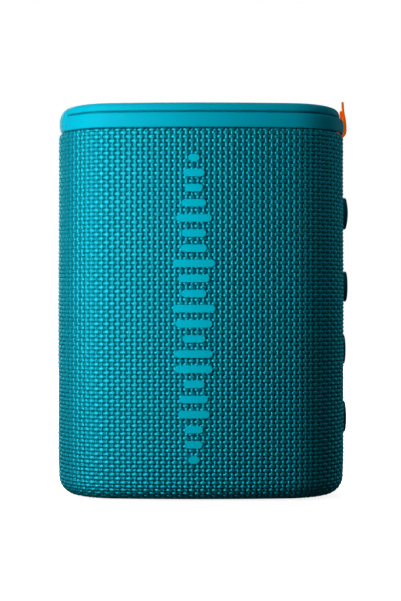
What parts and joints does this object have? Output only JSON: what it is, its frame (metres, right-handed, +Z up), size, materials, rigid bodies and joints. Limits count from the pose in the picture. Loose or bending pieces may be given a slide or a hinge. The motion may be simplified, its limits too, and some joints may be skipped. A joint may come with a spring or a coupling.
{
  "type": "portable bluetooth speaker",
  "caption": "Upright pocket loudspeaker in a woven fabric sleeve, with a lift-up carry strap, side keys and a rear charging port under a flap.",
  "frame": {"origin": "centre of the foot's underside, on the surface that the speaker stands on", "axes": "+Z up, -Y is the front face with the sound driver, +X is the side with the keys"},
  "size_m": [0.0901, 0.0488, 0.1216],
  "materials": {
    "woven_fabric": "coarse plain weave, coated yarn, slight sheen",
    "print_cyan": "raised satin print",
    "grille_metal": "matt black paint",
    "housing_plastic": "moulded, fine spark texture",
    "seal_rubber": "matt",
    "foot_rubber": "matt, fine texture",
    "cap_plastic": "soft-touch satin",
    "strap_silicone": "satin silicone",
    "tab_ribbon": "woven ribbon",
    "key_rubber": "matt silicone",
    "plunger_plastic": "moulded",
    "switch_plastic": "moulded",
    "board_laminate": "solder mask",
    "clear_plastic": "clear moulded",
    "connector_plastic": "moulded",
    "flap_rubber": "matt silicone",
    "plated_steel": "nickel plated",
    "shield_metal": "tinned",
    "chip_plastic": "moulded epoxy",
    "ribbon_film": "polyimide film",
    "can_aluminium": "drawn can",
    "cell_wrap": "shrink sleeve",
    "basket_metal": "black e-coat",
    "magnet_ceramic": "sintered ferrite",
    "coil_copper": "enamelled copper wire",
    "spider_cloth": "resin-dipped cotton",
    "cone_paper": "coated pulp",
    "surround_rubber": "butyl",
    "radiator_metal": "matt black",
    "lead_red": "insulation",
    "lead_black": "insulation",
    "screw_steel": "black zinc"
  },
  "bodies": {
    "root": {"base_plate": "housing_plastic", "base_screws": "screw_steel", "battery_cell": "cell_wrap", "battery_cradle": "housing_plastic", "battery_lead": "lead_red", "board_chips": "chip_plastic", "board_connectors": "connector_plastic", "board_screws": "screw_steel", "cap_screws": "screw_steel", "capacitors": "can_aluminium", "driver_basket": "basket_metal", "driver_gasket": "seal_rubber", "driver_lead": "lead_black", "driver_magnet": "magnet_ceramic", "driver_spider": "spider_cloth", "driver_surround": "surround_rubber", "driver_terminals": "connector_plastic", "driver_top_plate": "plated_steel", "driver_yoke": "plated_steel", "fabric_sleeve": "woven_fabric", "flange_screws": "screw_steel", "foot_pad": "foot_rubber", "front_emblem": "print_cyan", "front_grille": "grille_metal", "housing_front": "housing_plastic", "housing_rear": "housing_plastic", "housing_screws": "screw_steel", "housing_seal": "seal_rubber", "inductors": "chip_plastic", "key_ribbon": "ribbon_film", "key_seals": "seal_rubber", "loop_anchor": "strap_silicone", "main_board": "board_laminate", "port_flap_anchor": "flap_rubber", "radiator_frame": "basket_metal", "radiator_gasket": "seal_rubber", "radiator_surround": "surround_rubber", "radio_module": "shield_metal", "rear_grille": "grille_metal", "status_led": "connector_plastic", "status_light_pipe": "clear_plastic", "switch_board": "board_laminate", "tact_switches": "switch_plastic", "top_cap": "cap_plastic", "usb_socket": "plated_steel"},
    "loop": {"carry_loop": "strap_silicone", "pull_tab": "tab_ribbon"},
    "power_key": {"key_power": "key_rubber", "plunger_power": "plunger_plastic"},
    "volume_up_key": {"key_volume_up": "key_rubber", "plunger_volume_up": "plunger_plastic"},
    "volume_down_key": {"key_volume_down": "key_rubber", "plunger_volume_down": "plunger_plastic"},
    "play_key": {"key_play": "key_rubber", "plunger_play": "plunger_plastic"},
    "flap": {"port_flap": "flap_rubber"},
    "cone": {"driver_cone": "cone_paper", "driver_dust_cap": "cone_paper", "driver_voice_coil": "coil_copper"},
    "radiator": {"radiator_plate": "radiator_metal"}
  },
  "joints": [
    {"name": "carry_loop_lift", "type": "hinge", "parent": "root", "child": "loop", "pos_m": [-0.024, 0, 0.11315], "axis": [0, -1, 0], "range_deg": [0, 75], "stiffness_Nm_per_rad": 0.006},
    {"name": "port_flap_open", "type": "hinge", "parent": "root", "child": "flap", "pos_m": [0, 0.0229, 0.0303], "axis": [-1, 0, 0], "range_deg": [0, 100], "stiffness_Nm_per_rad": 0.002},
    {"name": "power_key_press", "type": "slide", "parent": "root", "child": "power_key", "axis": [-1, 0, 0], "range_m": [0, 0.0005], "stiffness_N_per_m": 800},
    {"name": "volume_up_key_press", "type": "slide", "parent": "root", "child": "volume_up_key", "axis": [-1, 0, 0], "range_m": [0, 0.0005], "stiffness_N_per_m": 800},
    {"name": "volume_down_key_press", "type": "slide", "parent": "root", "child": "volume_down_key", "axis": [-1, 0, 0], "range_m": [0, 0.0005], "stiffness_N_per_m": 800},
    {"name": "play_key_press", "type": "slide", "parent": "root", "child": "play_key", "axis": [-1, 0, 0], "range_m": [0, 0.0005], "stiffness_N_per_m": 800},
    {"name": "cone_stroke", "type": "slide", "parent": "root", "child": "cone", "axis": [0, -1, 0], "range_m": [-0.0012, 0.0012], "stiffness_N_per_m": 1500, "deforming": ["driver_surround", "driver_spider"]},
    {"name": "radiator_stroke", "type": "slide", "parent": "root", "child": "radiator", "axis": [0, 1, 0], "range_m": [-0.002, 0.002], "stiffness_N_per_m": 900, "deforming": ["radiator_surround"]}
  ]
}
